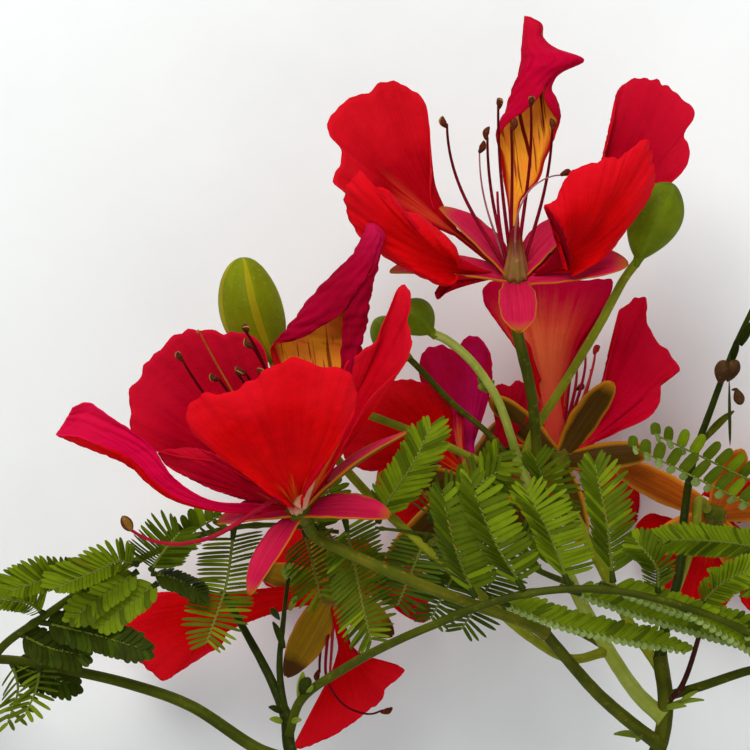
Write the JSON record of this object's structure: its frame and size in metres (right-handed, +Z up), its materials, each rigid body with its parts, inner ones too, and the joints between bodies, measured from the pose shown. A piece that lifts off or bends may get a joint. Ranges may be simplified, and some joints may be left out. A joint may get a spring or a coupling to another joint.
{
  "type": "cut flowering branch of a flame tree",
  "caption": "Cut flowering branch of a flame tree lying down: a woody foot, green stems, open red blooms with long stamens, green buds and feathery leaves.",
  "frame": {"origin": "middle of the footprint of the whole branch, on the surface it lies on", "axes": "+Z up, away from the surface it lies on; +X to the right across the branch, its longest extent; +Y from the cut woody foot towards the blooms"},
  "size_m": [0.3176, 0.2762, 0.1281],
  "materials": {
    "bark": "rough",
    "green_stem": "satin",
    "old_stem": "matte",
    "petal": "soft satin",
    "bud": "satin",
    "leaf": "satin"
  },
  "bodies": {
    "root": {"woody_branch": "bark", "main_stem": "green_stem", "left_stem": "green_stem", "left_shoot": "green_stem", "raceme_axis": "green_stem", "peduncle_upper": "green_stem", "peduncle_left": "green_stem", "young_raceme": "green_stem", "side_shoot": "green_stem", "stalk_bloom_upper": "green_stem", "stalk_bloom_left": "green_stem", "stalk_bloom_right": "green_stem", "stalk_bloom_low_right": "green_stem", "stalk_bloom_low_left": "green_stem", "stalk_bloom_middle": "green_stem", "stalk_bud_open": "green_stem", "stalk_bud_right": "green_stem", "stalk_bud_middle": "green_stem", "stalk_bud_back": "green_stem", "stalk_bare": "green_stem", "old_stalk": "old_stem", "bloom_upper": "petal", "bloom_left": "petal", "bloom_right": "petal", "bloom_low_right": "petal", "bloom_low_left": "petal", "bloom_middle": "petal", "bud_open": "bud", "bud_right": "bud", "bud_middle": "bud", "bud_back": "bud", "leaf_front": "leaf", "leaf_right": "leaf", "leaf_left": "leaf", "leaf_low_left": "leaf", "leaf_middle": "leaf"}
  },
  "joints": []
}
